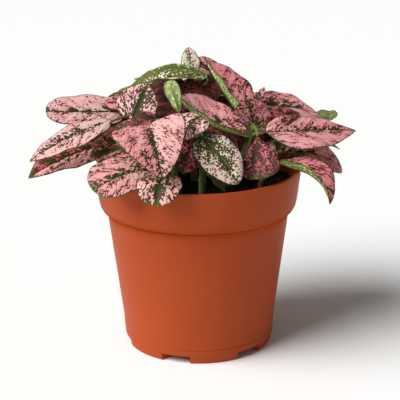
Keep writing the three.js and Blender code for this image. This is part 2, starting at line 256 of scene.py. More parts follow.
floor_top = FLOOR_HEIGHT + FLOOR_THICKNESS
foot_inside = FOOT_RADIUS - FOOT_WIDTH
foot = [(foot_inside - 0.3, FLOOR_HEIGHT), (foot_inside, FLOOR_HEIGHT - 0.3), (foot_inside, 0.4),
        (foot_inside + 0.4, 0)]
pot = turned("grow_pot", [
    *[(r, FLOOR_HEIGHT) for r in reversed(FLOOR_RINGS)], *foot, *OUTER_WALL, *INNER_WALL,
    *[(r, floor_top) for r in FLOOR_RINGS]], POT_SIDES)
for index in range(NOTCHES):
    turn = math.radians(FIRST_NOTCH + 360 / NOTCHES * index)
    cut(pot, foot_notch(turn))
    cut(pot, drain_hole(turn))
select_only(pot)
bpy.ops.object.shade_smooth_by_angle(angle=POT_SMOOTHING)
pot.data.materials.append(plastic())
dress(pot, "terracotta_plastic", "pot")

# Potting mix
# Dark moist peat with bark crumbs and fibre, heaped loosely to about 9 mm below the rim.
# The mix is one rough body, and its larger crumbs lie half sunk in its top.

SOIL_HEIGHT = 84
SOIL_RELIEF = 0.9
SOIL_BASE = FLOOR_HEIGHT + FLOOR_THICKNESS + 0.3
SOIL_SIDES = 180
SOIL_RINGS = 34
SOIL_RADIUS = 49.6
SOIL_SAG = 0.8
SAG_REACH = 3
CRUMBS = 620
CRUMB_REACH = 49.0
CRUMB_LEAST = 0.5
CRUMB_RANGE = 1.3
CRUMB_SEED = 11
DRAW_FACTOR = 16807
DRAW_LIMIT = 2147483647
PEAT = 0x150D08
PEAT_DRY = 0x33261C

# Radius and height of each ring of the mix's side, a little inside the pot's wall.
SOIL_SIDE = [
    (20, SOIL_BASE), (37.0, SOIL_BASE), (37.6, 14), (44.2, 66), (45.0, 70.5), (49.1, 77.5),
    (49.9, SOIL_HEIGHT - 2),
]


def random(seed):
    """A repeatable stream of numbers from 0 to 1, one for each call of next()."""
    state = seed
    while True:
        state = state * DRAW_FACTOR % DRAW_LIMIT
        yield state / DRAW_LIMIT


def soil_top(x, y):
    """Height of the mix at a point, in millimetres."""
    lumps = math.sin(x * 0.61 + 1) * math.sin(y * 0.53) + 0.5 * math.sin(x * 0.23 - y * 0.31)
    rough = noise.noise(Vector((x, y, 3)) * 0.35) * 1.1 + noise.noise(Vector((x, y, 9)) * 1.1) * 0.6
    return SOIL_HEIGHT + SOIL_RELIEF * lumps + rough


def crumb(draw):
    """A broken crumb of peat or bark, a millimetre or two across."""
    bpy.ops.mesh.primitive_ico_sphere_add(subdivisions=2, radius=1)
    lump = bpy.context.object
    size = CRUMB_LEAST + CRUMB_RANGE * next(draw) ** 2
    shape = Vector((size, size * (0.5 + 0.5 * next(draw)), size * (0.35 + 0.3 * next(draw))))
    offset = Vector((next(draw), next(draw), next(draw))) * 50
    for vertex in lump.data.vertices:
        vertex.co *= 1 + 0.55 * noise.noise(vertex.co * 1.3 + offset)
        vertex.co = Vector(a * b for a, b in zip(vertex.co, shape))
    angle, reach = math.tau * next(draw), (CRUMB_REACH - size) * math.sqrt(next(draw))
    x, y = reach * math.cos(angle), reach * math.sin(angle)
    turn = Matrix.Rotation(math.tau * next(draw), 4, "Z") @ Matrix.Rotation(0.8 * next(draw), 4, "X")
    place = Matrix.Translation((x, y, soil_top(x, y) + 0.1))
    lump.data.transform(Matrix.Scale(MM, 4) @ place @ turn)
    return lump


def peat():
    """Moist peat: near black, rough, with drier brown crumbs and fibres."""
    material, tree = new_material("moist peat")
    place = (add(tree, "ShaderNodeTexCoord", {}), "Object")
    dry = ramp(tree, cells(tree, place, 420, 5), 0.52, 0.72)
    colour = mix(tree, dry, PEAT, PEAT_DRY)
    bump = bumps(tree, cells(tree, place, 1600, 4), 0.8, 0.0006)
    surface(tree, {"Base Color": colour, "Roughness": 0.92, "IOR": 1.4, "Normal": bump,
                   "Specular IOR Level": 0.3})
    return material


soil_rings = [(SOIL_RADIUS * (1 - step / SOIL_RINGS), SOIL_HEIGHT) for step in range(SOIL_RINGS)]
soil = turned("potting_mix_heap", [*SOIL_SIDE, *soil_rings], SOIL_SIDES)
for vertex in soil.data.vertices:
    x, y, z = vertex.co / MM
    if z > SOIL_HEIGHT - 0.5:
        rim = min(1, (50 - math.hypot(x, y)) / SAG_REACH)
        vertex.co.z = (SOIL_HEIGHT + (soil_top(x, y) - SOIL_HEIGHT) * rim - SOIL_SAG * (1 - rim)) * MM
draw = random(CRUMB_SEED)
crumbs = [crumb(draw) for _ in range(CRUMBS)]
select_only(soil, *crumbs)
bpy.ops.object.join()
bpy.ops.object.shade_smooth_by_angle(angle=SMOOTHING)
soil.data.materials.clear()
soil.data.materials.append(peat())
dress(soil, "potting_mix", "potting_mix")

# Leafy stems
# Eleven soft stems stand in the mix, each with its leaves on short stalks. A leaf is a thin,
# softly quilted blade, green underneath and washed with pink above between specks of dark green.

ROOT_DEPTH = 5
STEM_RADIUS = 1.9
STEM_TOP_RADIUS = 1.1
STALK_RADIUS = 0.65
BLADE_THICKNESS = 0.35
BLADE_STEP = 0.8
RIPPLE = 0.5
RIPPLES = 2.5
RIPPLE_STARTS = (3.9, 1.3)
MARGIN_NOTCH = 0.35
VEIN_SPACING = 4.6
VEIN_LEAN = 0.85
VEIN_BEND = 0.012
VEIN_OFFSET = 1.1
VEIN_GROOVE = 0.22
QUILT = 0.3
LUMP = 0.25
MIDRIB_GROOVE = 0.35
MIDRIB_REACH = 0.7
CURVE_STEPS = 24
STEM_POINTS = 101
STALK_POINTS = 26
JOINT_REACH = 0.03
JOINT_SWELL = 0.3
RULED_OUT = 8
RULED_UP = 3
SEED = 7

# How far the rib lies under the blade, at shares of its length.
RIB_DROPS = ((0.03, 0.5), (0.12, 0.8), (0.3, 0.75), (0.5, 0.65), (0.75, 0.5), (0.92, 0.3))

# Noise cells across and along the side veins, in millimetres. The specks come out smaller:
# streaks of about 0.8 by 1.3 mm, dots of about 0.8 mm and blotches of about 2 mm.
STREAK_CELL = (1.3, 1.9)
DOT_CELL = 1.1
BLOTCH_CELL = 3.2
CLOUD_CELL = 6
UNDER_CELL = (1.0, 1.8)
TINT_SPECKS = 0.2

SPECK_GREEN = 0x1F2A08
SPECK_LIME = 0x5C6C1C
SPECK_MAROON = 0x3A150A
WASH = [(0, 0xE2E3C2), (0.14, 0xE0BAB4), (0.3, 0xE3A9A5), (0.5, 0xD98589), (0.75, 0xB5545C),
        (1, 0x6B2826)]
UNDER_GREEN = 0x66801F
UNDER_PALE = 0xC2D099
UNDER_SPOT = 0xE2E8A2
UNDER_MARGIN = 0x46551A
STEM_GREEN = 0x74863F
STEM_FLUSH = 0x6A3C2A

PLAIN_SHAPE = {"roll": 0, "twist": 0, "arch": 3, "hook": 0, "fold": (14, 14), "camber": (-22, -22),
               "share": (1, 1), "foot": 0.5, "point": 0.75, "tint": (0, 0)}

# How a leaf is marked. cover is its dark share, from 0.3 for a few specks to 0.6 for green with
# spots, and tilt adds to it toward the base. heart is how many millimetres its green heart
# reaches, blush runs from cream to crimson, yellow from dark green to lime, fine from streaks
# along the side veins to small round dots, grain makes those dots smaller, blotch is how strongly
# specks gather into blotches beside the midrib, under runs from a green under face to a pale one,
# and ripen is how much deeper the pink gets from base to tip.
PLAIN_MARKS = {"cover": 0.42, "tilt": 0, "heart": 1.4, "blush": 0.4, "yellow": 0.15, "fine": 0.35,
               "grain": 1, "blotch": 0.5, "under": 0.15, "ripen": 0.12}
MARKINGS = {
    "pale": {"cover": 0.425, "heart": 1.6, "blush": 0.32, "blotch": 0.3, "ripen": 0.02},
    "ripening": {"cover": 0.435, "tilt": -0.05, "heart": 1.6, "blush": 0.34, "yellow": 0.3,
                 "blotch": 1, "ripen": 0.2},
    "shaded": {"cover": 0.5, "heart": 1.2, "blush": 0.5, "yellow": 0.35, "fine": 0.25, "blotch": 1},
    "pink": {"cover": 0.445, "heart": 1, "blush": 0.44, "blotch": 1},
    "bright": {"cover": 0.415, "heart": 1.2, "blush": 0.43, "blotch": 1},
    "rose": {"cover": 0.445, "heart": 1, "blush": 0.56, "blotch": 1},
    "deep": {"cover": 0.45, "tilt": 0.1, "heart": 1, "blush": 0.5, "fine": 0.6, "under": 0.35},
    "graded": {"cover": 0.448, "tilt": 0.24, "blush": 0.45, "fine": 0.6, "blotch": 1, "ripen": -0.25},
    "specked": {"cover": 0.485, "heart": 1.8, "blush": 0.27, "yellow": 0.2, "fine": 0.5},
    "dotted": {"cover": 0.485, "heart": 0.8, "blush": 0.47, "fine": 0.9, "grain": 1.2},
    "dense": {"cover": 0.55, "heart": 0.5, "blush": 0.76, "yellow": 0, "fine": 1, "grain": 1.35,
              "blotch": 0},
    "mottled": {"cover": 0.455, "tilt": 0.16, "heart": 3, "blush": 0.1, "yellow": 0.35, "fine": 1,
                "grain": 1.15},
    "green": {"cover": 0.53, "heart": 3.5, "blush": 0.05, "yellow": 1, "fine": 0.9},
    "cream": {"cover": 0.38, "heart": 1, "blush": 0.05, "yellow": 0.8, "under": 0.5},
    # The leaves deep inside the plant are coloured a dark brown crimson as painted shade.
    "painted_shade": {"cover": 0.5, "heart": 0.7, "blush": 0.95, "yellow": 0.05, "fine": 0.7},
    "bud": {"cover": 0.42, "heart": 1, "blush": 0.4, "under": 0.5},
}

# Each stem's path, and its leaves: the share of the stem's height that a leaf grows from, the
# base and tip of its blade, its width, its marking and its shape. The leaves that nobody sees
# from the front are given by azimuth, share, length and droop.
STEMS = {
    "front_left": {
        "path": [(-10, -22), (-14, -24, 104), (-20, -25, 120)],
        "leaves": [
            (1, (-23, -34, 122), (-16, -62, 104), 34, "pale", {
                "roll": 8, "twist": -20, "foot": 0.12, "point": 0.65, "fold": (20, 14),
                "camber": (-20, -14), "share": (1, 1.1), "tint": (0, 0.11)}),
            (0.45, (-16, -46, 101), (-19, -60, 90), 22, "specked", {"foot": 0.4, "point": 0.45}),
            (0.4, (-23, -30, 99), (-49, -48, 94), 27, "ripening", {
                "roll": -22, "foot": 0.6, "point": 0.4}),
            (0.6, (-20, -24, 108.5), (-52, -21, 105.5), 33, "shaded", {"roll": -42, "arch": 1}),
            (0.95, (-20, -20, 122), (-33, -19, 114), 13, "painted_shade", {"roll": -40}),
        ],
        "others": [],
    },
    "left": {
        "path": [(-24, -4), (-30, -6, 104), (-33, -8, 121)],
        "leaves": [
            (1, (-38, 0, 121), (-75, -8, 123), 21, "pale", {
                "roll": -32, "arch": 0, "fold": (10, 14), "share": (0.95, 1.1), "foot": 0.25,
                "point": 0.34, "tint": (-0.06, -0.06)}),
            (0.95, (-42, -16, 120), (-80, -36, 105), 19, "pale", {
                "roll": -20, "fold": (10, 14), "share": (1, 0.75), "foot": 0.7, "point": 0.9,
                "tint": (-0.1, -0.1)}),
            # This leaf's far half has deeper pink and thicker specks as painted shade from the leaf above
            # it.
            (0.6, (-47, -6, 105), (-82, -30, 95), 22, "pink", {
                "roll": -22, "fold": (4, 20), "share": (0.8, 1.2), "foot": 0.4, "point": 0.9,
                "tint": (-0.1, 0.3)}),
            (0.95, (-32, -11, 119), (-24.5, -5, 136.5), 26, "specked", {
                "roll": 25, "arch": -1, "share": (1, 0.8), "point": 0.8}),
            (1, (-33, 0, 122), (-48, 9, 125), 16, "rose", {"roll": -20}),
            (0.85, (-35, -2, 115), (-52, 8, 112), 20, "painted_shade", {"roll": -14}),
            (0.75, (-38, -5, 113), (-55, -5, 103), 20, "painted_shade", {"roll": -20}),
        ],
        "others": [],
    },
    "middle": {
        "path": [(-2, 2), (-2, 6, 110), (0, 8, 132)],
        "leaves": [
            (1, (5, 6, 138), (-33, 6, 133.5), 20, "green", {"roll": -10, "arch": 6, "camber": (-50, -50)}),
            (1, (-3, 14, 137), (-4.5, 20, 150), 10, "cream", {"arch": 1}),
            (1, (10.5, 17, 133), (-0.5, 19, 145), 12, "pink", {"roll": -60, "arch": 1}),
            (0.85, (-6, 10, 134), (12, 8, 127.5), 19, "painted_shade", {"roll": 40, "share": (0.75, 1)}),
            (0.8, (-7, 4, 122), (-28, -1, 112), 24, "painted_shade", {"roll": -8}),
            (0.5, (-7, -3, 107), (-22, -13, 97), 22, "painted_shade", {}),
            (0.5, (3, -2, 105), (12, -14, 93), 18, "painted_shade", {"roll": 12}),
            (1, (-7, 13, 134), (-20, 9, 116), 26, "painted_shade", {"roll": -40, "arch": 2}),
        ],
        "others": [],
    },
    "right": {
        "path": [(16, -6), (24, -8, 104), (28, -7, 115)],
        "leaves": [
            (1, (25.5, 4, 115), (4.5, 15, 144), 24, "deep", {
                "arch": -1.5, "fold": (75, 50), "share": (0.3, 1.15), "camber": (0, -20),
                "foot": 0.55, "point": 0.8}),
            (1, (27, -16, 112), (-9, -11, 130), 27, "graded", {
                "arch": -3, "hook": -1, "twist": 25, "fold": (45, 40), "share": (0.25, 1.2),
                "camber": (0, -10), "foot": 0.75, "point": 0.42}),
            (0.7, (29, -24, 114), (26, -38, 96), 20, "dense", {
                "roll": 16, "arch": 1, "fold": (10, 20), "share": (1.4, 0.6), "foot": 1.1,
                "point": 0.4}),
            (1, (35, -6, 111), (82, 14, 107), 30, "bright", {
                "roll": 26, "arch": 1, "foot": 0.5, "point": 0.95, "share": (0.8, 1.05)}),
            (1, (34, 2, 113), (52, 14, 117), 14, "dense", {"roll": 20, "arch": 1}),
            (1, (30, -1, 108), (26, 5, 126), 24, "dotted", {"arch": -1, "point": 0.5}),
            (0.75, (20, 2, 115), (25, 0, 97), 16, "painted_shade", {"roll": 50}),
        ],
        "others": [(100, 0.5, 28, 15)],
    },
    "front": {
        "path": [(2, -26), (2, -24, 104), (0, -22, 116)],
        "leaves": [
            (0.95, (1, -29, 115), (19, -45, 96), 21, "mottled", {
                "roll": 26, "camber": (-30, -30), "point": 0.6}),
            (0.8, (-1, -22, 112), (-7, -34, 98), 22, "dense", {"roll": -14}),
            (1, (2, -24, 123.5), (-6, -30, 114), 22, "specked", {"roll": -10}),
            (1, (3, -15, 116), (20, -17, 103), 24, "painted_shade", {"roll": 10}),
            (0.35, (4, -30, 99), (13, -36, 89), 8, "green", {"arch": 1}),
            (1, (-8.5, -16, 123), (-13.5, -17, 140), 8, "cream", {
                "roll": 80, "arch": 0, "foot": 0.9, "point": 0.35}),
        ],
        "others": [],
    },
    "front_right": {
        "path": [(32, -12), (37, -12, 95), (39, -12, 101)],
        "leaves": [
            (0.9, (41, -14, 98), (65, -24, 79), 22, "rose", {
                "roll": 12, "arch": 4, "hook": 3, "twist": 45, "fold": (25, 60), "share": (1, 0.36),
                "camber": (-20, 0), "point": 0.8}),
        ],
        "others": [(75, 0.8, 22, 0)],
    },
    "right_back": {
        "path": [(26, 16), (32, 22, 104), (34, 26, 120)],
        "leaves": [
            (1, (32, 22, 119), (64, 31, 112), 29, "graded", {
                "roll": 22, "arch": 2, "fold": (10, 20), "point": 0.7}),
            (0.8, (56, 36, 108), (75, 44, 107), 17, "green", {"roll": -34, "arch": 1, "point": 0.4}),
            (0.3, (45, 9, 97), (75.5, 16, 86.5), 27, "deep", {"roll": 24, "arch": 4, "point": 0.5}),
            (0.5, (54, 24, 100), (76, 30, 93), 14, "green", {"arch": 2}),
            (1, (32.7, 21, 123.5), (34.8, 22, 128.6), 6, "bud", {"arch": 0}),
        ],
        "others": [(100, 0.97, 28, 25)],
    },
    "left_back": {
        "path": [(-20, 12), (-26, 14, 106), (-22, 18, 127)],
        "leaves": [
            (1, (-20, 22, 132), (-45, 26, 124), 15, "green", {"arch": 1}),
        ],
        "others": [(172, 0.4, 36, 18), (140, 0.7, 32, 14), (100, 0.97, 24, 12), (195, 0.65, 28, 20)],
    },
    "back_left": {
        "path": [(-14, 26), (-18, 28, 104), (-18, 29, 118)],
        "leaves": [],
        "others": [(130, 0.5, 34, 32), (80, 0.75, 28, 35), (155, 0.95, 30, 5), (60, 0.98, 22, 0)],
    },
    "back": {
        "path": [(4, 22), (4, 24, 106), (5, 24, 124)],
        "leaves": [
            (1, (-3, 23, 127), (-14, 14, 120), 20, "rose", {"roll": -20}),
            (1, (8, 22, 131), (22, 20, 122), 20, "dense", {"roll": 20}),
            (0.9, (12, 18, 125), (12, 7, 104), 21, "painted_shade", {"roll": 6}),
            (0.85, (-9, 18, 121), (-12, 9, 104), 18, "painted_shade", {"roll": -8}),
        ],
        "others": [(92, 0.5, 32, 26), (30, 0.85, 30, 12), (105, 0.98, 32, 10)],
    },
    "back_right": {
        "path": [(22, 30), (25, 30, 104), (26, 30, 112)],
        "leaves": [
            (0.95, (29, 24, 117), (37, 12, 99), 18, "painted_shade", {"roll": 8}),
            (1, (35, 20, 114), (46, 13, 104), 18, "dense", {"roll": 14}),
        ],
        "others": [(48, 0.5, 34, 30), (75, 0.9, 26, 25), (0, 0.98, 24, 20), (110, 0.7, 27, 20)],
    },
}
OTHER_MARKINGS = ["pink", "specked", "rose", "pale", "dense"]


def smooth_line(points, count):
    """Evenly spaced points on the smooth curve through some points."""
    points = [Vector(point) for point in points]
    points = [2 * points[0] - points[1], *points, 2 * points[-1] - points[-2]]
    dense = []
    for p0, p1, p2, p3 in zip(points, points[1:], points[2:], points[3:]):
        d0, d1, d2 = ((b - a).length ** 0.5 for a, b in ((p0, p1), (p1, p2), (p2, p3)))
        t1 = ((p1 - p0) / d0 - (p2 - p0) / (d0 + d1) + (p2 - p1) / d1) * d1
        t2 = ((p2 - p1) / d1 - (p3 - p1) / (d1 + d2) + (p3 - p2) / d2) * d1
        for step in range(CURVE_STEPS):
            t = step / CURVE_STEPS
            dense.append(p1 + t1 * t + (3 * (p2 - p1) - 2 * t1 - t2) * t * t
                         + (2 * (p1 - p2) + t1 + t2) * t ** 3)
    dense.append(points[-2])
    reached = [0]
    for a, b in zip(dense, dense[1:]):
        reached.append(reached[-1] + (b - a).length)
    line, index = [], 0
    for step in range(count):
        goal = reached[-1] * step / (count - 1)
        while index < len(dense) - 2 and reached[index + 1] < goal:
            index += 1
        span = (goal - reached[index]) / (reached[index + 1] - reached[index])
        line.append(dense[index].lerp(dense[index + 1], span))
    return line


class Leaf:
    """A blade from its base to its tip, in millimetres. roll turns its face about that line and
    twist turns it further on the way; arch lifts its middle and hook its last third; fold lifts
    the two halves beside the midrib, camber curls them, share scales their widths and tint
    deepens their pink and thickens their specks. The smaller foot and point are, the blunter
    are its base and tip."""

    def __init__(self, base, tip, width, marking, shape, seed):
        self.base, self.tip, self.width = Vector(base), Vector(tip), width
        self.marks, self.seed = {**PLAIN_MARKS, **MARKINGS[marking]}, seed
        self.shape = {**PLAIN_SHAPE, **shape}
        self.length = (self.tip - self.base).length
        self.line = (self.tip - self.base).normalized()
        up = (Vector((0, 0, 1)) - self.line.z * self.line).normalized()
        self.up = Matrix.Rotation(math.radians(self.shape["roll"]), 3, self.line) @ up

    def midrib(self, along):
        rest = 1 - along
        lift = 4 * self.shape["arch"] * along * rest + 6.75 * self.shape["hook"] * along ** 2 * rest
        return self.base.lerp(self.tip, along) + self.up * lift

    def axes(self, along):
        """The directions ahead, across and out of the blade at a point of its midrib."""
        ahead = (self.midrib(along + 0.001) - self.midrib(along - 0.001)).normalized()
        across = ahead.cross(self.up).normalized()
        twist = Matrix.Rotation(math.radians(self.shape["twist"] * (along - 0.4)), 3, ahead)
        return ahead, twist @ across, twist @ across.cross(ahead)

    def margin(self, along, half):
        """How far the margin stands from the midrib."""
        foot, point = self.shape["foot"], self.shape["point"]
        peak = foot / (foot + point)
        most = peak ** foot * (1 - peak) ** point
        reach = along ** foot * (1 - along) ** point / most
        notch = MARGIN_NOTCH * noise.noise(Vector((along * 9, self.seed, half)))
        return max(0.12, self.width / 2 * self.shape["share"][half] * reach + notch * min(1, 4 * reach))

    def relief(self, along, rib, vein, edge):
        """The sunken midrib and side veins, and the soft quilting between them."""
        ends = min(1, 5 * along, 5 * (1 - along))
        side = abs((vein / VEIN_SPACING) % 1 - 0.5) * 2
        fade = min(1, rib / 1.5) * min(1, edge / 2) * ends
        groove = VEIN_GROOVE * math.exp(-((1 - side) * 5) ** 2)
        quilt = QUILT * (1 - side ** 2)
        lump = LUMP * noise.noise(Vector((vein * 0.35, rib * 0.3, self.seed)))
        midrib = MIDRIB_GROOVE * math.exp(-(rib / MIDRIB_REACH) ** 2) * ends
        return (quilt - groove + lump) * fade - midrib

    def blade(self):
        """The blade as a thin closed sheet that carries where each point lies on the leaf."""
        rows = max(6, round(self.length / BLADE_STEP * 1.3))
        columns = 2 * max(3, round(self.width / BLADE_STEP / 2))
        bpy.ops.mesh.primitive_grid_add(x_subdivisions=rows, y_subdivisions=columns, size=1)
        sheet = bpy.context.object
        data = sheet.data
        look = self.marks
        where, marks, veins, faces, flat = [], [], [], [], []
        rungs = {}
        for vertex in data.vertices:
            along = (1 - math.cos(math.pi * min(1, max(0, vertex.co.x + 0.5)))) / 2
            across = -2 * vertex.co.y
            half = 0 if across < -1e-6 else 1
            q, sign = abs(across), (1, -1)[half == 0]
            key = round(along, 6)
            if key not in rungs:
                rungs[key] = (self.midrib(along), self.axes(along))
            place, (ahead, sideways, out) = rungs[key]
            reach = self.margin(along, half)
            rib, edge = reach * q, reach * (1 - q)
            vein = along * self.length - VEIN_LEAN * rib - VEIN_BEND * rib * rib + VEIN_OFFSET * half
            first = math.radians(self.shape["fold"][half])
            curl = math.radians(self.shape["camber"][half]) or 1e-6
            outward = (math.sin(first + curl * q) - math.sin(first)) / curl
            upward = (math.cos(first) - math.cos(first + curl * q)) / curl
            wave = math.sin(math.tau * RIPPLES * along + RIPPLE_STARTS[half]) * min(1, 4 * (1 - along))
            lift = RIPPLE * q * q * wave + self.relief(along, rib, vein, edge)
            vertex.co = (place + sideways * (sign * reach * outward) + out * (reach * upward + lift)) * MM
            tint = look["blush"] + self.shape["tint"][half]
            where.append((rib, edge, tint + look["ripen"] * (along - 0.5)))
            thick = look["cover"] + TINT_SPECKS * self.shape["tint"][half]
            marks.append((thick + look["tilt"] * (0.5 - along) + 0.08 * max(0, along - 0.9) / 0.1,
                          look["heart"] * (0.35 + 0.65 * math.sin(math.pi * along ** 0.9)),
                          look["yellow"] + 0.5 * max(0, along - 0.85) / 0.15))
            faces.append((look["fine"], look["under"], look["blotch"]))
            flat.append((along * self.length * look["grain"], sign * rib * look["grain"], self.seed * 71))
            veins.append((vein + self.seed * 71, sign * rib * 1.3 + self.seed * 37))
        for name, values in (("where", where), ("marks", marks), ("faces", faces), ("flat", flat)):
            data.attributes.new(name, "FLOAT_VECTOR", "POINT")
            data.attributes[name].data.foreach_set("vector", [x for value in values for x in value])
        while data.uv_layers:
            data.uv_layers.remove(data.uv_layers[0])
        uv = data.uv_layers.new(name="veins")
        for corner, loop in zip(uv.data, data.loops):
            corner.uv = veins[loop.vertex_index]
        data.materials.append(leaf_face)
        data.materials.append(leaf_back)
        apply_modifier(sheet, "SOLIDIFY", thickness=BLADE_THICKNESS * MM, offset=0, material_offset=1,
                       material_offset_rim=1)
        bpy.ops.object.shade_smooth()
        return sheet

    def stalk(self, start):
        """The stalk from inside the stem, and the rib that it becomes under the blade."""
        ahead = self.axes(0.01)[0]
        gap = (start - self.base).length
        before = self.base - 0.45 * gap * ahead
        turn = start.lerp(before, 0.6) + Vector((0, 0, 0.12 * gap))
        rib = [self.midrib(t) - self.axes(t)[2] * drop for t, drop in RIB_DROPS]
        line = smooth_line([start, turn, *rib], STALK_POINTS)
        stalk_part = gap / (gap + 0.9 * self.length)
        thick = STALK_RADIUS * min(1, self.width / 20 + 0.3)
        radii = []
        for step in range(len(line)):
            share = step / (len(line) - 1)
            beyond = max(0, share - stalk_part) / (1 - stalk_part)
            radii.append(thick * (1 - 0.35 * min(1, share / stalk_part)) * (1 - beyond) ** 0.6 + 0.1)
        return tube(line, radii, 3)


def tube(line, radii, roundness):
    """A closed round body along a line of points, in millimetres."""
    curve = bpy.data.curves.new("line", "CURVE")
    curve.dimensions = "3D"
    spline = curve.splines.new("POLY")
    spline.points.add(len(line) - 1)
    for point, place, radius in zip(spline.points, line, radii):
        point.co = (*(place * MM), 1)
        point.radius = radius
    curve.bevel_depth = MM
    curve.bevel_resolution = roundness
    curve.use_fill_caps = True
    body = bpy.data.objects.new("line", curve)
    bpy.context.collection.objects.link(body)
    select_only(body)
    bpy.ops.object.convert(target="MESH")
    bpy.ops.object.mode_set(mode="EDIT")
    bpy.ops.mesh.select_all(action="SELECT")
    bpy.ops.mesh.remove_doubles(threshold=1e-6)
    bpy.ops.mesh.normals_make_consistent(inside=False)
    bpy.ops.object.mode_set(mode="OBJECT")
    bpy.ops.object.shade_smooth_by_angle(angle=SMOOTHING)
    body.data.materials.append(stem_skin)
    return body


def carried(tree, name):
    """The three values that a blade carries under a name."""
    values = add(tree, "ShaderNodeAttribute", {}, attribute_name=name)
    apart = add(tree, "ShaderNodeSeparateXYZ", {"Vector": (values, "Vector")})
    return [(apart, axis) for axis in "XYZ"]


def stretched(tree, at, cell):
    across, along = cell
    return add(tree, "ShaderNodeMapping", {"Vector": at, "Scale": (1 / across, 1 / along, 1)})


def vein_net(tree, veins):
    """The net of small veins, with meshes of about 1.1 mm."""
    net = add(tree, "ShaderNodeTexVoronoi", {"Vector": veins, "Scale": 0.9}, voronoi_dimensions="2D",
              feature="DISTANCE_TO_EDGE")
    return net, "Distance"


def leaf_upper():
    """The upper face: a pink wash broken by dark specks, in streaks along the side veins or dots."""
    material, tree = new_material("leaf upper face")
    rib, edge, blush = carried(tree, "where")
    cover, heart_reach, yellow = carried(tree, "marks")
    fine, _, blotchy = carried(tree, "faces")
    veins = add(tree, "ShaderNodeUVMap", {}, uv_map="veins")
    streaks = add(tree, "ShaderNodeTexNoise", {
        "Vector": stretched(tree, veins, STREAK_CELL), "Scale": 1, "Detail": 2, "Roughness": 0.6},
        noise_dimensions="2D")
    flat = add(tree, "ShaderNodeAttribute", {}, attribute_name="flat")
    dots = cells(tree, (flat, "Vector"), 1 / DOT_CELL, 1)
    specks = add(tree, "ShaderNodeMix", {"Factor_Float": fine, "A_Float": (streaks, "Fac"),
                                         "B_Float": dots})
    # The dark share grows toward the midrib, over the green heart, and in a line at the margin.
    near = maths(tree, "DIVIDE", rib, heart_reach)
    faded = maths(tree, "MULTIPLY", near, -1.0)
    heart = maths(tree, "EXPONENT", faded)
    midrib = ramp(tree, rib, 0.2, 0.7, 0.05, 0)
    margin = ramp(tree, edge, 0.2, 0.5, 0.3, 0)
    clouds = cells(tree, veins, 1 / CLOUD_CELL, 1, noise_dimensions="2D")
    cloudy = ramp(tree, clouds, 0.25, 0.75, -0.09, 0.09)
    # The blotches lie within some 5 mm of the midrib.
    wide = cells(tree, veins, 1 / BLOTCH_CELL, 0, noise_dimensions="2D")
    blot = ramp(tree, wide, 0.55, 0.68, 0, blotchy)
    inner = ramp(tree, rib, 3, 7, 0.1, 0)
    blotch = maths(tree, "MULTIPLY", blot, inner)
    # A narrow heart is broken by pink, and a wide one is solid green.
    solid = ramp(tree, heart_reach, 0.5, 1.6, 0.08, 0.22)
    level = maths(tree, "MULTIPLY_ADD", heart, solid, cover)
    for part in (midrib, margin, cloudy, blotch):
        level = maths(tree, "ADD", level, part)
    depth = maths(tree, "SUBTRACT", level, (specks, "Result_Float"))
    dark = ramp(tree, depth, -0.012, 0.018)
    # A speck is maroon at its edge and green inside, or mostly maroon on the deepest leaves.
    ripe = ramp(tree, yellow, 0, 0.15, 0.3, 1)
    green_inside = ramp(tree, depth, 0.045, 0.13, 0, ripe)
    greens = mix(tree, yellow, SPECK_GREEN, SPECK_LIME)
    speck = mix(tree, green_inside, SPECK_MAROON, greens)
    tone = maths(tree, "MULTIPLY_ADD", cloudy, 1.1, blush)
    wash = add(tree, "ShaderNodeValToRGB", {"Fac": tone})
    stops = wash.color_ramp.elements
    stops[0].color, stops[-1].color = srgb(WASH[0][1]), srgb(WASH[-1][1])
    for position, colour in WASH[1:-1]:
        stops.new(position).color = srgb(colour)
    colour = mix(tree, dark, (wash, "Color"), speck)
    bump = bumps(tree, vein_net(tree, veins), 0.35, 0.0004)
    surface(tree, {
        "Base Color": colour, "Roughness": 0.5, "IOR": 1.42, "Normal": bump, "Specular IOR Level": 0.25,
        "Subsurface Weight": 0.3, "Subsurface Radius": (1.0, 0.4, 0.3), "Subsurface Scale": 0.0008,
        "Sheen Weight": 0.04, "Sheen Roughness": 0.5})
    return material


def leaf_under():
    """The under face: matt yellow-green with pale spots, a darker margin and raised veins."""
    material, tree = new_material("leaf under face")
    _, edge, _ = carried(tree, "where")
    _, under, _ = carried(tree, "faces")
    veins = add(tree, "ShaderNodeUVMap", {}, uv_map="veins")
    spots = cells(tree, stretched(tree, veins, UNDER_CELL), 1, 2, noise_dimensions="2D")
    pale = ramp(tree, spots, 0.5, 0.58)
    inside = ramp(tree, edge, 0.2, 0.9)
    shown = maths(tree, "MULTIPLY", pale, inside)
    green = mix(tree, under, UNDER_GREEN, UNDER_PALE)
    spotted = mix(tree, shown, green, UNDER_SPOT)
    # The margin is darker in a line of about half a millimetre.
    line = ramp(tree, edge, 0.2, 0.6, 0.8, 0)
    colour = mix(tree, line, spotted, UNDER_MARGIN)
    bump = bumps(tree, vein_net(tree, veins), 0.4, 0.0004, invert=True)
    surface(tree, {
        "Base Color": colour, "Roughness": 0.62, "IOR": 1.42, "Normal": bump, "Specular IOR Level": 0.35,
        "Subsurface Weight": 0.3, "Subsurface Radius": (0.7, 0.9, 0.3), "Subsurface Scale": 0.0008})
    return material


def stem_bark():
    """Soft green stem skin, flushed red-brown in patches."""
    material, tree = new_material("soft stem skin")
    place = (add(tree, "ShaderNodeTexCoord", {}), "Object")
    red = ramp(tree, cells(tree, place, 90, 3), 0.45, 0.7)
    colour = mix(tree, red, STEM_GREEN, STEM_FLUSH)
    bump = bumps(tree, cells(tree, place, 1800, 2), 0.3, 0.0003)
    surface(tree, {
        "Base Color": colour, "Roughness": 0.55, "IOR": 1.42, "Normal": bump,
        "Subsurface Weight": 0.15, "Subsurface Radius": (0.7, 0.9, 0.3), "Subsurface Scale": 0.001})
    return material


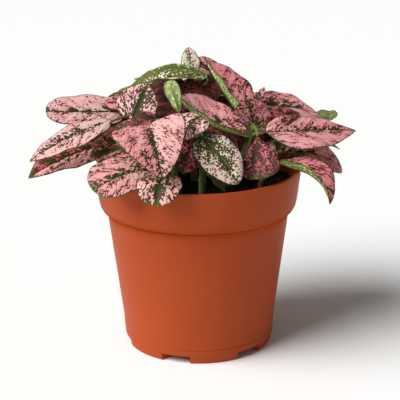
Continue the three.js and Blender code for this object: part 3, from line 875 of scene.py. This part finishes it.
def ruled_leaf(at, rule, marking, seed, draw):
    """A leaf that grows outward from a stem, given by azimuth, share, length and droop."""
    azimuth, _, length, droop = rule
    out = Vector((math.cos(math.radians(azimuth)), math.sin(math.radians(azimuth)), 0))
    base = at + RULED_OUT * out + Vector((0, 0, RULED_UP))
    tip = base + out * length * math.cos(math.radians(droop))
    tip.z -= length * math.sin(math.radians(droop))
    roll = 20 * next(draw) - 10
    arch = 3 + 2 * next(draw)
    camber = (-20 - 15 * next(draw), -20 - 15 * next(draw))
    width = length * (0.6 + 0.1 * next(draw))
    return Leaf(base, tip, width, marking, {"roll": roll, "arch": arch, "camber": camber}, seed)


leaf_face, leaf_back, stem_skin = leaf_upper(), leaf_under(), stem_bark()
draw = random(SEED)
seed = 0
for name, stem in STEMS.items():
    (x, y), *rest = stem["path"]
    line = smooth_line([(x, y, SOIL_HEIGHT - ROOT_DEPTH), (x, y, SOIL_HEIGHT + 3), *rest], STEM_POINTS)
    shares = [leaf[0] for leaf in stem["leaves"]] + [rule[1] for rule in stem["others"]]
    radii = []
    for step in range(STEM_POINTS):
        share = step / (STEM_POINTS - 1)
        joint = max(math.exp(-((share - at) / JOINT_REACH) ** 2) for at in shares)
        radii.append(STEM_RADIUS + (STEM_TOP_RADIUS - STEM_RADIUS) * share + JOINT_SWELL * joint)
    parts = [tube(line, radii, 4)]
    leaves = []
    for share, *shape in stem["leaves"]:
        seed += 1
        leaves.append((share, Leaf(*shape, seed)))
    for rule in stem["others"]:
        seed += 1
        at = line[round(rule[1] * (STEM_POINTS - 1))]
        marking = OTHER_MARKINGS[seed % len(OTHER_MARKINGS)]
        leaves.append((rule[1], ruled_leaf(at, rule, marking, seed, draw)))
    for share, leaf in leaves:
        parts += [leaf.blade(), leaf.stalk(line[round(share * 0.98 * (STEM_POINTS - 1))])]
    select_only(*parts)
    bpy.ops.object.join()
    piece = bpy.context.object
    piece.name = piece.data.name = "foliage_" + name
    dress(piece, "leaf", "stem_" + name)

# Camera
# A 100 mm lens on a 36 mm sensor, a little above the plant and looking down at the pot's middle.

CAMERA_PLACE = (0.001, -0.55, 0.2435)
LOOK_DOWN = 17.1
CAMERA_ROLL = -0.37
LENS = 100.5
SENSOR_WIDTH = 36
CLIP_START = 0.01

bpy.ops.object.camera_add(location=CAMERA_PLACE)
camera = bpy.context.object
camera.rotation_euler = (Matrix.Rotation(math.radians(90 - LOOK_DOWN), 3, "X")
                         @ Matrix.Rotation(math.radians(CAMERA_ROLL), 3, "Z")).to_euler()
camera.data.lens = LENS
camera.data.sensor_width = SENSOR_WIDTH
camera.data.clip_start = CLIP_START
bpy.context.scene.camera = camera

# Studio
# A wide pale floor under one big soft light from the front left, with a weak even fill.

FLOOR_SIZE = 60
FLOOR_DROP = 0.0001
FLOOR_COLOUR = 0xF9F9F8
KEY_AZIMUTH = 64
KEY_HEIGHT = 44
KEY_SIZE = 45
KEY_STRENGTH = 4.1
FILL_STRENGTH = 0.15
WALL_STRENGTH = 0.95
WALL_BAND = (0.1, 0.3)

bpy.ops.mesh.primitive_plane_add(size=FLOOR_SIZE, location=(0, 0, -FLOOR_DROP))
ground = bpy.context.object
ground.name = "studio_floor"
paper, tree = new_material("matt paper")
place = (add(tree, "ShaderNodeTexCoord", {}), "Object")
bump = bumps(tree, cells(tree, place, 900, 2), 0.05, 0.0001)
surface(tree, {"Base Color": srgb(FLOOR_COLOUR), "Roughness": 0.9, "Normal": bump,
               "Specular IOR Level": 0.1})
ground.data.materials.append(paper)

bpy.ops.object.light_add(type="SUN", location=(-1, -1, 1.5))
key = bpy.context.object
azimuth, height = math.radians(KEY_AZIMUTH), math.radians(KEY_HEIGHT)
toward = Vector((-math.sin(azimuth) * math.cos(height), -math.cos(azimuth) * math.cos(height),
                 math.sin(height)))
key.rotation_euler = toward.to_track_quat("Z", "Y").to_euler()
key.data.energy = KEY_STRENGTH
key.data.angle = math.radians(KEY_SIZE)

world = bpy.data.worlds.new("studio")
bpy.context.scene.world = world
world.use_nodes = True
tree = world.node_tree
tree.nodes.clear()
way = add(tree, "ShaderNodeTexCoord", {})
rise = add(tree, "ShaderNodeSeparateXYZ", {"Vector": (way, "Generated")})
walls = ramp(tree, (rise, "Z"), *WALL_BAND, WALL_STRENGTH, FILL_STRENGTH)
sky = add(tree, "ShaderNodeBackground", {"Strength": walls})
add(tree, "ShaderNodeOutputWorld", {"Surface": sky})
bpy.context.scene.view_settings.view_transform = "Standard"
